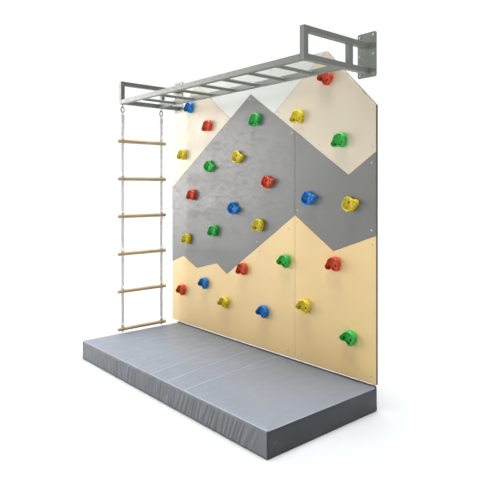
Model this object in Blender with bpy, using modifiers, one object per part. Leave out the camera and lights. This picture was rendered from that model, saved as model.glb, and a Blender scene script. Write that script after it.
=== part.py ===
"""Indoor climbing wall for children: boards with holds, monkey bars, rope ladder and floor mat.

Metres, +Z up.  The room's wall is the plane behind the boards and the floor is z = 0.
Part coordinates run along the wall in X from the boards' left edge and out from the boards'
front face towards -Y.  The empty "wall_frame" carries them to the middle of the footprint.
"""
import math

import bmesh
import bpy
from mathutils import Vector

# Boards
WALL_WIDTH = 2.400
BOARD_THICKNESS = 0.022
BOARD_BOTTOM_Z = 0.170
BOARD_TOP_Z = 2.450
CORNER_LEFT = (0.400, 0.400)
CORNER_RIGHT = (0.426, 0.438)
SEAM = 0.001
BOARD_EDGE_BEVEL = 0.0015
SEAM_X = 1.670
PEAK = (1.165, 2.245)
SLOPE_LEFT_Z = 1.476
VALLEY = (2.175, 1.555)
SLOPE_RIGHT_Z = 1.705
WHITE_LEFT_X = 0.897
WHITE_RIGHT_X = 1.442
FOOTHILLS = ((0.195, 0.818), (0.410, 0.722), (0.710, 0.798), (0.853, 0.719))
FOOTHILL_LEFT_Z = 0.745
RIDGE_Z = 1.262
RIGHT_DIP = (2.043, 1.021)
FOOTHILL_RIGHT_Z = 1.152

# Holds: colour, x, z, and the clockwise turn, in degrees, from the notch pointing down
HOLDS = (
    ("blue", 0.305, 2.230, 0), ("red", 0.590, 2.030, -15),
    ("yellow", 0.190, 1.788, -10), ("red", 0.345, 1.402, -12),
    ("green", 0.675, 1.083, -15), ("yellow", 0.260, 0.983, -12),
    ("red", 0.175, 0.488, -5), ("blue", 0.535, 0.600, 0),
    ("yellow", 0.825, 0.470, 0), ("red", 1.070, 0.785, -16),
    ("yellow", 1.270, 1.163, -14), ("blue", 1.325, 0.475, 0),
    ("green", 1.565, 0.905, 0), ("yellow", 1.770, 0.592, 0),
    ("green", 2.185, 0.443, 6), ("red", 2.050, 0.930, -12),
    ("green", 1.230, 2.023, -18), ("yellow", 1.705, 2.000, -8),
    ("green", 2.105, 1.795, -14), ("red", 1.980, 2.253, 18),
    ("green", 0.625, 1.660, 200), ("yellow", 1.018, 1.728, 195),
    ("red", 1.390, 1.513, 185), ("blue", 0.965, 1.290, 202),
    ("blue", 1.825, 1.390, 185), ("yellow", 2.205, 1.356, 180),
)
# A hold's outline is the union of these circles (centre x, z and radius), stretched along x
HOLD_LOBES = (
    (0.010, 0.004, 0.047), (0.019, -0.031, 0.022), (-0.035, -0.011, 0.023), (-0.020, 0.007, 0.027),
)
HOLD_STRETCH = 1.13
# Distance inside the outline and out from the board, from the foot over the rim into the scoop
HOLD_SECTIONS = (
    (0.006, 0.0), (0.0, 0.012), (0.001, 0.030), (0.005, 0.040), (0.010, 0.0385), (0.017, 0.023),
)
HOLD_SIDES = 24
HOLD_TILT = 0.06
HOLD_LIP_DROP = 0.25
HOLD_LIP_ANGLE = -1.95
HOLD_LIP_WIDTH = 0.45
HOLD_BOLTS = ((-0.039, -0.012), (0.019, -0.013))
HOLD_BOLT_RADIUS = 0.0065
HOLD_BOLT_FLOOR = 0.009

# Monkey bars
TUBE = 0.038
TUBE_BEVEL = 0.002
WELD_STEP = 0.0003
BRACKET_X = (0.085, 2.315)
BRACKET_FRONT_Y = -0.620
MID_POST_FRONT_Y = -0.191
INNER_RAIL_FRONT_Y = -0.222
INNER_RAIL_RAISE = 0.006
BRACKET_BOTTOM_Z = 2.229
BRACKET_TOP_Z = 2.435
RUNG_COUNT = 7
BAR_RUNG_RADIUS = 0.0125
PLATE_WIDTH = 0.150
PLATE_HEIGHT = 0.300
PLATE_THICKNESS = 0.006
PLATE_CENTRE_Z = 2.355
PLATE_CORNER = 0.012
PLATE_HOLE_RADIUS = 0.006
PLATE_HOLE_X = 0.054
PLATE_HOLE_Z = 0.128

# Rope ladder
LADDER_X = BRACKET_X[0]
ROPE_Y = (-0.595, -0.183)
EYE_DROP = 0.020
EYE_RADIUS = 0.011
EYE_WIRE = 0.003
CARABINER_WIRE = 0.0035
CARABINER_HEIGHT = 0.050
CARABINER_WIDTH = 0.030
LADDER_RUNG_COUNT = 6
LADDER_TOP_RUNG_Z = 1.895
LADDER_PITCH = 0.341
LADDER_RUNG_RADIUS = 0.018
LADDER_RUNG_LENGTH = 0.508
LADDER_RUNG_ROUND = 0.006
ROPE_RADII = (0.0100, 0.0100, 0.0105, 0.0120, 0.0125, 0.0125)
NECK_RADIUS = 0.0062
ROPE_HOLE_RADIUS = 0.0072
KNOT_RADIUS = 0.0175
KNOT_HEIGHT = 0.026
HANGING_KNOT_RADIUS = 0.0150
HANGING_KNOT_HEIGHT = 0.022
KNOT_GAP = 0.0005
END_KNOT_RADIUS = 0.012
END_KNOT_HEIGHT = 0.011
LOOP_ROPE_RADIUS = 0.0065
LOOP_RADIUS = 0.014
SPLICE_RADIUS = 0.0160
SPLICE_LENGTH = 0.150
ROPE_SIDES = 10

# Floor mat
MAT_LEFT_X = 0.086
MAT_BACK_Y = 0.019
MAT_FRONT_Y = -0.990
MAT_HEIGHT = 0.155
MAT_CORNER = 0.022

GAP = 0.0003
FRAME_X = -WALL_WIDTH / 2
FRAME_Y = -(MAT_FRONT_Y + BOARD_THICKNESS) / 2
EYE_Z = BRACKET_BOTTOM_Z - EYE_DROP
LINK_Z = -(EYE_RADIUS - EYE_WIRE - CARABINER_WIRE - GAP)

# Base colour, roughness and metallic value of each finish
FINISHES = {
    "white": ((0.72, 0.72, 0.68), 0.45, 0.0),
    "beige": ((0.68, 0.59, 0.42), 0.45, 0.0),
    "grey": ((0.26, 0.26, 0.26), 0.50, 0.0),
    "tan": ((0.68, 0.49, 0.24), 0.45, 0.0),
    "red": ((0.50, 0.045, 0.018), 0.35, 0.0),
    "green": ((0.05, 0.32, 0.06), 0.35, 0.0),
    "blue": ((0.03, 0.16, 0.42), 0.35, 0.0),
    "yellow": ((0.58, 0.44, 0.03), 0.35, 0.0),
    "powder_coat": ((0.28, 0.29, 0.27), 0.40, 0.3),
    "steel": ((0.22, 0.23, 0.23), 0.30, 1.0),
    "wood": ((0.46, 0.33, 0.18), 0.55, 0.0),
    "rope": ((0.80, 0.80, 0.77), 0.90, 0.0),
    "mat_cloth": ((0.40, 0.44, 0.49), 0.80, 0.0),
}


# Scene helpers

def clear_scene():
    for item in list(bpy.data.objects):
        bpy.data.objects.remove(item, do_unlink=True)


def new_collection(name):
    collection = bpy.data.collections.new(name)
    bpy.context.scene.collection.children.link(collection)
    return collection


def finish_material(name, finish):
    colour, roughness, metallic = FINISHES[finish]
    material = bpy.data.materials.new(name)
    material.use_nodes = True
    shader = material.node_tree.nodes["Principled BSDF"]
    shader.inputs["Base Color"].default_value = (*colour, 1.0)
    shader.inputs["Roughness"].default_value = roughness
    shader.inputs["Metallic"].default_value = metallic
    return material


def new_empty(name, parent=None, location=(0, 0, 0)):
    empty = bpy.data.objects.new(name, None)
    PARTS.objects.link(empty)
    empty.parent = parent
    empty.location = location
    return empty


def new_part(name, mesh, finish, parent, location=(0, 0, 0), rotation=(0, 0, 0)):
    part = bpy.data.objects.new(name, mesh)
    PARTS.objects.link(part)
    part.parent = parent
    part.location = location
    part.rotation_euler = rotation
    part.data.materials.clear()
    part.data.materials.append(finish_material(name, finish))
    return part


def new_cutter(name, mesh, parent, location=(0, 0, 0), rotation=(0, 0, 0)):
    cutter = bpy.data.objects.new(name, mesh)
    CUTTERS.objects.link(cutter)
    cutter.parent = parent
    cutter.location = location
    cutter.rotation_euler = rotation
    cutter.hide_render = True
    cutter.display_type = "WIRE"
    return cutter


def boolean(part, cutter, operation="DIFFERENCE"):
    modifier = part.modifiers.new(cutter.name, "BOOLEAN")
    modifier.operation = operation
    modifier.object = cutter
    modifier.solver = "EXACT"


def bevel(part, width, segments=1):
    modifier = part.modifiers.new("edges", "BEVEL")
    modifier.width = width
    modifier.segments = segments
    modifier.limit_method = "ANGLE"
    modifier.angle_limit = math.radians(50)


def smooth(mesh, angle=40):
    mesh.shade_smooth()
    mesh.set_sharp_from_angle(angle=math.radians(angle))


# Shape helpers

def mesh_from(build, name):
    """A mesh filled in by build(bm)."""
    bm = bmesh.new()
    build(bm)
    mesh = bpy.data.meshes.new(name)
    bm.to_mesh(mesh)
    bm.free()
    return mesh


def rod_mesh(name, radius, length, sides):
    """A cylinder along Z, centred on its origin."""
    shape = {"segments": sides, "radius1": radius, "radius2": radius, "depth": length}
    return mesh_from(lambda bm: bmesh.ops.create_cone(bm, cap_ends=True, **shape), name)


def box_mesh(name, size):
    def build(bm):
        bmesh.ops.create_cube(bm, size=1.0)
        bmesh.ops.scale(bm, vec=size, verts=bm.verts)
    return mesh_from(build, name)


def curve_mesh(curve, flatten=False):
    """The welded mesh of a curve's data; flatten merges its flat faces."""
    holder = bpy.data.objects.new(curve.name, curve)
    PARTS.objects.link(holder)
    graph = bpy.context.evaluated_depsgraph_get()
    mesh = bpy.data.meshes.new_from_object(holder.evaluated_get(graph))
    bpy.data.objects.remove(holder)
    bm = bmesh.new()
    bm.from_mesh(mesh)
    bmesh.ops.remove_doubles(bm, verts=bm.verts, dist=0.00001)
    if flatten:
        bmesh.ops.dissolve_limit(bm, angle_limit=0.01, verts=bm.verts, edges=bm.edges)
    bmesh.ops.recalc_face_normals(bm, faces=bm.faces)
    bm.to_mesh(mesh)
    bm.free()
    return mesh


def slab_mesh(name, outline, thickness, holes=()):
    """A flat outline with holes, in XY, of the given thickness about z = 0."""
    curve = bpy.data.curves.new(name, "CURVE")
    curve.dimensions = "2D"
    curve.fill_mode = "BOTH"
    curve.extrude = thickness / 2
    for loop in (outline, *holes):
        spline = curve.splines.new("POLY")
        spline.points.add(len(loop) - 1)
        for point, (x, y) in zip(spline.points, loop):
            point.co = (x, y, 0, 1)
        spline.use_cyclic_u = True
    return curve_mesh(curve, flatten=not holes)


def wire_mesh(name, points, radius, cyclic):
    curve = bpy.data.curves.new(name, "CURVE")
    curve.dimensions = "3D"
    curve.bevel_depth = radius
    curve.bevel_resolution = 2
    curve.use_fill_caps = True
    spline = curve.splines.new("POLY")
    spline.points.add(len(points) - 1)
    for point, place in zip(spline.points, points):
        point.co = (*place, 1)
    spline.use_cyclic_u = cyclic
    return curve_mesh(curve)


def turned_mesh(name, profile, sides):
    """A solid of revolution about Z; profile is (radius, z) from top to bottom."""
    mesh = bpy.data.meshes.new(name)
    points = [(radius, 0, z) for radius, z in profile]
    mesh.from_pydata(points, [(i, i + 1) for i in range(len(points) - 1)], [])
    holder = bpy.data.objects.new(name, mesh)
    PARTS.objects.link(holder)
    screw = holder.modifiers.new("turn", "SCREW")
    screw.steps = sides
    screw.render_steps = sides
    screw.use_merge_vertices = True
    screw.merge_threshold = 0.00001
    graph = bpy.context.evaluated_depsgraph_get()
    turned = bpy.data.meshes.new_from_object(holder.evaluated_get(graph))
    bpy.data.objects.remove(holder)
    return turned


def loft_mesh(name, rings):
    """Bridges rings of equal length and closes both ends with a fan."""
    def build(bm):
        loops = [[bm.verts.new(point) for point in ring] for ring in rings]
        count = len(rings[0])
        for lower, upper in zip(loops, loops[1:]):
            for i in range(count):
                j = (i + 1) % count
                bm.faces.new((lower[i], lower[j], upper[j], upper[i]))
        for loop in (loops[0], loops[-1]):
            middle = bm.verts.new(sum((vert.co for vert in loop), Vector()) / count)
            for i in range(count):
                bm.faces.new((loop[i], loop[(i + 1) % count], middle))
        bmesh.ops.recalc_face_normals(bm, faces=bm.faces)
    return mesh_from(build, name)


def circle(centre, radius, sides):
    turns = [2 * math.pi * i / sides for i in range(sides)]
    return [(centre[0] + radius * math.cos(a), centre[1] + radius * math.sin(a)) for a in turns]


def rounded_rectangle(width, height, radius, steps=3):
    corners = ((1, 1, 0), (-1, 1, 90), (-1, -1, 180), (1, -1, 270))
    points = []
    for sx, sy, start in corners:
        for i in range(steps + 1):
            angle = math.radians(start + 90 * i / steps)
            x = sx * (width / 2 - radius) + radius * math.cos(angle)
            y = sy * (height / 2 - radius) + radius * math.sin(angle)
            points.append((x, y))
    return points


def inset(outline, distance):
    """Moves every edge of an anticlockwise outline inwards by distance."""
    points = [Vector(point) for point in outline]
    moved = []
    for before, here, after in zip(points[-1:] + points[:-1], points, points[1:] + points[:1]):
        back = (here - before).normalized()
        ahead = (after - here).normalized()
        normals = Vector((-back.y, back.x)), Vector((-ahead.y, ahead.x))
        mitre = (normals[0] + normals[1]).normalized()
        moved.append(tuple(here + mitre * (distance / mitre.dot(normals[0]))))
    return moved


def along(start, end, x):
    """The point of the line from start to end that has the given x."""
    return x, start[1] + (end[1] - start[1]) * (x - start[0]) / (end[0] - start[0])


# Boards

def board_outlines():
    """Anticlockwise outlines in (x, z) that share their corners."""
    right = WALL_WIDTH
    top_left = (CORNER_LEFT[0], BOARD_TOP_Z)
    top_right = (right - CORNER_RIGHT[0], BOARD_TOP_Z)
    cut_left = (0, BOARD_TOP_Z - CORNER_LEFT[1])
    cut_right = (right, BOARD_TOP_Z - CORNER_RIGHT[1])
    slope_left = (0, SLOPE_LEFT_Z)
    slope_right = (right, SLOPE_RIGHT_Z)
    white_left = along(slope_left, PEAK, WHITE_LEFT_X)
    white_right = along(PEAK, VALLEY, WHITE_RIGHT_X)
    seam_top = along(PEAK, VALLEY, SEAM_X)
    ridge = (SEAM_X, RIDGE_Z)
    foot_left = (0, FOOTHILL_LEFT_Z)
    foot_right = (right, FOOTHILL_RIGHT_Z)
    seam_bottom = (SEAM_X, BOARD_BOTTOM_Z)
    low_left = (0, BOARD_BOTTOM_Z)
    low_right = (right, BOARD_BOTTOM_Z)
    hills = list(FOOTHILLS)
    return {
        "board_beige_left": ("beige", [slope_left, white_left, top_left, cut_left]),
        "board_white_top": ("white", [white_left, PEAK, white_right, top_right, top_left]),
        "board_beige_right": ("beige", [white_right, VALLEY, slope_right, cut_right, top_right]),
        "board_grey_left": ("grey", [foot_left, *hills, ridge, seam_top, PEAK, slope_left]),
        "board_grey_right": ("grey", [ridge, RIGHT_DIP, foot_right, slope_right, VALLEY, seam_top]),
        "board_tan_left": ("tan", [low_left, seam_bottom, ridge, *reversed(hills), foot_left]),
        "board_tan_right": ("tan", [seam_bottom, low_right, foot_right, RIGHT_DIP, ridge]),
    }


def build_boards(parent):
    upright = (math.radians(90), 0, 0)
    for name, (finish, outline) in board_outlines().items():
        mesh = slab_mesh(name, inset(outline, SEAM / 2), BOARD_THICKNESS)
        board = new_part(name, mesh, finish, parent, (0, BOARD_THICKNESS / 2, 0), upright)
        bevel(board, BOARD_EDGE_BEVEL)


# Holds

def hold_reach(angle):
    """How far the outline of a hold is from its origin, in one direction."""
    ahead = Vector((math.cos(angle), math.sin(angle)))
    reaches = []
    for x, z, radius in HOLD_LOBES:
        centre = Vector((x, z))
        middle = centre.dot(ahead)
        half_chord = radius ** 2 - centre.length_squared + middle ** 2
        if half_chord > 0:
            reaches.append(middle + math.sqrt(half_chord))
    return max(reaches)


def hold_ring(inward, out):
    """One section of a hold, with its notch towards -Z; the rim dips at the notch."""
    ring = []
    for i in range(HOLD_SIDES):
        angle = 2 * math.pi * i / HOLD_SIDES
        reach = hold_reach(angle) - inward
        from_lip = math.remainder(angle - HOLD_LIP_ANGLE, 2 * math.pi) / HOLD_LIP_WIDTH
        rise = 1 + HOLD_TILT * math.sin(angle) - HOLD_LIP_DROP * math.exp(-from_lip ** 2)
        ring.append((reach * math.cos(angle) * HOLD_STRETCH, -out * rise, reach * math.sin(angle)))
    return ring


def build_holds(parent):
    body = loft_mesh("hold_body", [hold_ring(inward, out) for inward, out in HOLD_SECTIONS])
    smooth(body)
    drill = rod_mesh("hold_drill", HOLD_BOLT_RADIUS, 0.06, 10)
    for number, (finish, x, z, turn) in enumerate(HOLDS, start=1):
        name = f"hold_{number:02d}_{finish}"
        hold = new_part(name, body.copy(), finish, parent, (x, -GAP, z), (0, math.radians(turn), 0))
        for bolt_x, bolt_z in HOLD_BOLTS:
            place = (bolt_x, -HOLD_BOLT_FLOOR - 0.03, bolt_z)
            cutter = new_cutter(f"{name}_bolt", drill, hold, place, (math.radians(90), 0, 0))
            boolean(hold, cutter)


# Monkey bars

def bracket_tubes():
    """Each tube's width and its lowest and highest (y, z); where two cross, one is a little slimmer."""
    wall = BOARD_THICKNESS - PLATE_THICKNESS - GAP
    inside = TUBE / 2
    post_back = BRACKET_FRONT_Y + TUBE
    arm = TUBE - 2 * WELD_STEP
    mid = TUBE - 4 * WELD_STEP
    low_centre = BRACKET_BOTTOM_Z + TUBE / 2
    high_centre = BRACKET_TOP_Z - TUBE / 2
    arm_start = post_back - inside
    mid_low = MID_POST_FRONT_Y + 2 * WELD_STEP
    return (
        ("lower_arm", arm, (arm_start, low_centre - arm / 2), (wall, low_centre + arm / 2)),
        ("upper_arm", arm, (arm_start, high_centre - arm / 2), (wall, high_centre + arm / 2)),
        ("front_post", TUBE, (BRACKET_FRONT_Y, BRACKET_BOTTOM_Z), (post_back, BRACKET_TOP_Z)),
        ("mid_post", mid, (mid_low, low_centre), (mid_low + mid, high_centre)),
    )


def build_bracket(name, parent, x, with_eyes):
    """A welded side frame: two arms from the plate, joined by a mid post and a front post."""
    bracket = None
    for tube, width, low, high in bracket_tubes():
        size = (width, high[0] - low[0], high[1] - low[1])
        place = (x, (low[0] + high[0]) / 2, (low[1] + high[1]) / 2)
        mesh = box_mesh(f"{name}_{tube}", size)
        if bracket is None:
            bracket = new_part(name, mesh, "powder_coat", parent, place)
            bevel(bracket, TUBE_BEVEL)
        else:
            piece = new_cutter(f"{name}_{tube}", mesh, parent, place)
            bevel(piece, TUBE_BEVEL)
            boolean(bracket, piece, "UNION")
    if with_eyes:
        add_eyes(bracket, parent, x)


def add_eyes(bracket, parent, x):
    """Two rings in the XZ plane, each on a stem under the lower arm."""
    ring_points = [(px, 0, pz) for px, pz in circle((0, 0), EYE_RADIUS, 20)]
    ring = wire_mesh("eye_ring", ring_points, EYE_WIRE, cyclic=True)
    smooth(ring)
    stem_low = EYE_Z + EYE_RADIUS - EYE_WIRE / 2
    stem_high = BRACKET_BOTTOM_Z + TUBE / 4
    stem = rod_mesh("eye_stem", EYE_WIRE * 1.1, stem_high - stem_low, 12)
    for side, y in zip(("front", "rear"), ROPE_Y):
        place = (x, y, (stem_low + stem_high) / 2)
        boolean(bracket, new_cutter(f"eye_stem_{side}", stem, parent, place), "UNION")
        boolean(bracket, new_cutter(f"eye_ring_{side}", ring, parent, (x, y, EYE_Z)), "UNION")


def build_plate(name, parent, x):
    outline = rounded_rectangle(PLATE_WIDTH, PLATE_HEIGHT, PLATE_CORNER)
    centres = [(sx * PLATE_HOLE_X, sz * PLATE_HOLE_Z) for sx in (-1, 1) for sz in (-1, 0, 1)]
    holes = [circle(centre, PLATE_HOLE_RADIUS, 12) for centre in centres]
    mesh = slab_mesh(name, outline, PLATE_THICKNESS, holes)
    place = (x, BOARD_THICKNESS - PLATE_THICKNESS / 2, PLATE_CENTRE_Z)
    new_part(name, mesh, "powder_coat", parent, place, (math.radians(90), 0, 0))


def build_rung_frame(parent):
    """Two rails between the brackets with seven round rungs welded across them."""
    start = BRACKET_X[0] + TUBE / 2 + GAP
    end = BRACKET_X[1] - TUBE / 2 - GAP
    centre_x = (start + end) / 2
    rail_z = BRACKET_BOTTOM_Z + TUBE / 2
    rail = box_mesh("rail", (end - start, TUBE, TUBE))
    outer_y = BRACKET_FRONT_Y + TUBE / 2
    inner_y = INNER_RAIL_FRONT_Y + TUBE / 2
    frame = new_part("rung_frame", rail, "powder_coat", parent, (centre_x, outer_y, rail_z))
    bevel(frame, TUBE_BEVEL)
    inner = new_cutter("inner_rail", rail, parent, (centre_x, inner_y, rail_z + INNER_RAIL_RAISE))
    bevel(inner, TUBE_BEVEL)
    boolean(frame, inner, "UNION")
    length = inner_y - outer_y - TUBE + 0.010
    bar = rod_mesh("bar_rung", BAR_RUNG_RADIUS, length, 16)
    smooth(bar)
    pitch = (BRACKET_X[1] - BRACKET_X[0]) / (RUNG_COUNT + 1)
    for number in range(1, RUNG_COUNT + 1):
        place = (BRACKET_X[0] + pitch * number, (outer_y + inner_y) / 2, rail_z)
        rung = new_cutter(f"bar_rung_{number}", bar, parent, place, (math.radians(90), 0, 0))
        boolean(frame, rung, "UNION")


# Rope ladder

def carabiner_mesh():
    """An oval link in the YZ plane; its origin is the middle of the upper bow's wire."""
    radius = CARABINER_WIDTH / 2
    upper = [(math.cos(a) * radius, math.sin(a) * radius) for a in (math.pi * i / 8 for i in range(9))]
    points = [(0, y, z - radius) for y, z in upper]
    points += [(0, -y, -z - CARABINER_HEIGHT + radius) for y, z in upper]
    mesh = wire_mesh("carabiner", points, CARABINER_WIRE, cyclic=True)
    smooth(mesh)
    return mesh


def knot_profile(rope_radius, bottom):
    """A knot that stands on bottom and narrows to the rope above it, listed from top to bottom."""
    return [
        (rope_radius, bottom + KNOT_HEIGHT),
        (KNOT_RADIUS * 0.9, bottom + KNOT_HEIGHT * 0.6),
        (KNOT_RADIUS, bottom + KNOT_HEIGHT * 0.3),
        (KNOT_RADIUS * 0.85, bottom),
    ]


def hanging_knot_profile(rope_radius, top):
    """The knot under a rung, listed from top to bottom."""
    return [
        (0, top),
        (HANGING_KNOT_RADIUS * 0.85, top),
        (HANGING_KNOT_RADIUS, top - HANGING_KNOT_HEIGHT * 0.4),
        (rope_radius, top - HANGING_KNOT_HEIGHT),
    ]


def neck_profile(bottom, last):
    """The rope inside the rung that it carries; under the lowest rung it ends in a flat stopper knot."""
    if not last:
        end = bottom - 2 * LADDER_RUNG_RADIUS + 0.003
        return [(NECK_RADIUS, bottom), (NECK_RADIUS, end), (0, end)]
    under = bottom - 2 * (LADDER_RUNG_RADIUS + KNOT_GAP)
    end = under - END_KNOT_HEIGHT
    return [
        (NECK_RADIUS, bottom), (NECK_RADIUS, under),
        (END_KNOT_RADIUS, under), (END_KNOT_RADIUS, end), (0, end),
    ]


def rope_mesh(number):
    """Rope from the knot under one rung to the knot on the next; its origin is the upper rung's axis."""
    radius = ROPE_RADII[number - 1]
    foot = -LADDER_PITCH + LADDER_RUNG_RADIUS + KNOT_GAP
    profile = hanging_knot_profile(radius, -LADDER_RUNG_RADIUS - KNOT_GAP)
    profile += knot_profile(radius, foot)
    profile += neck_profile(foot, last=number == LADDER_RUNG_COUNT)
    mesh = turned_mesh("rope_step", profile, ROPE_SIDES)
    smooth(mesh)
    return mesh


def top_rope_meshes():
    """The splice below the carabiner with its knot on the first rung, and the loop; origin at the eye."""
    radius = ROPE_RADII[0]
    wire_z = LINK_Z - CARABINER_HEIGHT
    loop_z = wire_z - (LOOP_RADIUS - LOOP_ROPE_RADIUS - CARABINER_WIRE - GAP)
    neck_z = loop_z - LOOP_RADIUS - LOOP_ROPE_RADIUS * 0.4
    foot = LADDER_TOP_RUNG_Z - EYE_Z + LADDER_RUNG_RADIUS + KNOT_GAP
    splice = [
        (0, neck_z + 0.002), (SPLICE_RADIUS * 0.75, neck_z), (SPLICE_RADIUS, neck_z - 0.020),
        (SPLICE_RADIUS, neck_z - SPLICE_LENGTH * 0.7), (radius, neck_z - SPLICE_LENGTH),
    ]
    profile = splice + knot_profile(radius, foot) + neck_profile(foot, last=False)
    rope = turned_mesh("rope_top", profile, ROPE_SIDES)
    loop_points = [(x, 0, z) for x, z in circle((0, loop_z), LOOP_RADIUS, 16)]
    loop = wire_mesh("rope_loop", loop_points, LOOP_ROPE_RADIUS, cyclic=True)
    smooth(rope)
    return rope, loop


def ladder_rung_mesh():
    rung = rod_mesh("ladder_rung", LADDER_RUNG_RADIUS, LADDER_RUNG_LENGTH, 16)
    smooth(rung, 60)
    return rung


def build_rung(number, parent, z):
    middle_y = (ROPE_Y[0] + ROPE_Y[1]) / 2
    along_y = (math.radians(90), 0, 0)
    rung = new_part(f"ladder_rung_{number}", ladder_rung_mesh(), "wood", parent, (0, middle_y, z), along_y)
    bevel(rung, LADDER_RUNG_ROUND)
    drill = rod_mesh("rope_drill", ROPE_HOLE_RADIUS, 0.06, 12)
    for side, y in zip(("front", "rear"), ROPE_Y):
        boolean(rung, new_cutter(f"rope_drill_{number}_{side}", drill, parent, (0, y, z)))


def build_ladder(parent):
    """Each step hangs from an empty on its hinge: the eyes, then the axis of the rung above."""
    pivot = new_empty("ladder_pivot_1", parent, (LADDER_X, 0, EYE_Z))
    link = carabiner_mesh()
    top_rope, loop = top_rope_meshes()
    for side, y in zip(("front", "rear"), ROPE_Y):
        new_part(f"carabiner_{side}", link.copy(), "steel", pivot, (0, y, LINK_Z))
        rope = new_part(f"rope_{side}_1", top_rope.copy(), "rope", pivot, (0, y, 0))
        boolean(rope, new_cutter(f"rope_loop_{side}", loop, pivot, (0, y, 0)), "UNION")
    build_rung(1, pivot, LADDER_TOP_RUNG_Z - EYE_Z)
    drop = LADDER_TOP_RUNG_Z - EYE_Z
    for number in range(2, LADDER_RUNG_COUNT + 1):
        pivot = new_empty(f"ladder_pivot_{number}", pivot, (0, 0, drop))
        drop = -LADDER_PITCH
        rope = rope_mesh(number)
        for side, y in zip(("front", "rear"), ROPE_Y):
            new_part(f"rope_{side}_{number}", rope.copy(), "rope", pivot, (0, y, 0))
        build_rung(number, pivot, drop)


# Floor mat

def build_mat(parent):
    size = (WALL_WIDTH - SEAM / 2 - MAT_LEFT_X, MAT_BACK_Y - MAT_FRONT_Y, MAT_HEIGHT)
    place = (MAT_LEFT_X + size[0] / 2, (MAT_BACK_Y + MAT_FRONT_Y) / 2, MAT_HEIGHT / 2)
    mat = new_part("floor_mat", box_mesh("floor_mat", size), "mat_cloth", parent, place)
    bevel(mat, MAT_CORNER, segments=3)
    smooth(mat.data, 30)


clear_scene()
PARTS = new_collection("rock_climbing_wall")
CUTTERS = new_collection("cutters")
ROOT = new_empty("wall_frame", None, (FRAME_X, FRAME_Y, 0))
build_boards(ROOT)
build_holds(ROOT)
build_bracket("bracket_left", ROOT, BRACKET_X[0], with_eyes=True)
build_bracket("bracket_right", ROOT, BRACKET_X[1], with_eyes=False)
build_plate("wall_plate_left", ROOT, BRACKET_X[0])
build_plate("wall_plate_right", ROOT, BRACKET_X[1])
build_rung_frame(ROOT)
build_ladder(ROOT)
build_mat(ROOT)
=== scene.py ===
"""Looks of the indoor climbing wall: paint, resin holds, rope ladder, padded mat, light and camera.

Everything is in metres in the frame's own coordinates: +Z up, the boards face -Y.
"""

import math
import random

import bpy
import numpy as np
from mathutils import Matrix, Vector, noise
from mathutils.kdtree import KDTree


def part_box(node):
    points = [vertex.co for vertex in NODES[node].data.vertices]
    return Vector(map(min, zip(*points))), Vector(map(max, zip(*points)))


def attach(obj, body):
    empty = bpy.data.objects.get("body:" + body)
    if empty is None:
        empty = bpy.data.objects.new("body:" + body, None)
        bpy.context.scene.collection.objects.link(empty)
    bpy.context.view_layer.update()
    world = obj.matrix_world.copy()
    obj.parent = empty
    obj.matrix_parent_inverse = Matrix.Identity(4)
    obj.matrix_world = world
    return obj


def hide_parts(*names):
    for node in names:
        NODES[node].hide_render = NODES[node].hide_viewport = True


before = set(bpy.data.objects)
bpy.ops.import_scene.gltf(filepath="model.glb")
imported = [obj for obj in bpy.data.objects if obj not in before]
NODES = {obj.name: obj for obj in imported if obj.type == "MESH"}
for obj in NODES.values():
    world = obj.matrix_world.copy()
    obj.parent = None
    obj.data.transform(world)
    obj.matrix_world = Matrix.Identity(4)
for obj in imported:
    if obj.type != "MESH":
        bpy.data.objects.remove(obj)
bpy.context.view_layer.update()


def centre(name):
    """The middle of a CAD node's box."""
    return [(low + high) / 2 for low, high in zip(*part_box(name))]


# Boards
BOARDS = {
    "board_white_top": "white", "board_beige_left": "beige", "board_beige_right": "beige",
    "board_grey_left": "grey", "board_grey_right": "grey",
    "board_tan_left": "tan", "board_tan_right": "tan",
}
BOARD_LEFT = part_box("board_grey_left")[0].x
BOARD_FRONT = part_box("board_grey_left")[0].y
BOARD_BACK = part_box("board_grey_left")[1].y
BOARD_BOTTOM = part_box("board_tan_left")[0].z
# Screws that fix the boards to the room's wall: distance from the boards' left edge, and height
SCREWS = (
    (0.030, 1.530), (0.030, 1.443), (0.050, 1.990), (0.450, 2.405), (0.845, 2.063), (0.842, 1.983),
    (0.940, 2.405), (1.157, 2.207), (1.400, 2.405), (1.498, 2.061), (1.635, 1.886), (1.697, 1.847),
    (1.907, 1.783), (1.950, 2.405), (2.374, 1.995), (2.371, 1.740), (2.367, 1.633), (2.364, 1.185),
    (2.372, 1.095), (1.634, 1.297), (1.696, 1.299), (1.695, 1.213), (1.600, 1.160), (1.280, 0.956),
    (1.242, 1.029), (0.701, 0.755), (0.218, 0.740), (0.030, 0.690), (0.041, 0.228), (0.784, 0.225),
    (0.911, 0.225), (1.600, 0.222), (1.742, 0.222), (2.362, 0.219),
)
SCREW_RADIUS = 0.0065
# Anchor bolts on a wall plate: half the distance between the columns, and between the rows
PLATE_BOLTS = (0.054, 0.128)

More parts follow.
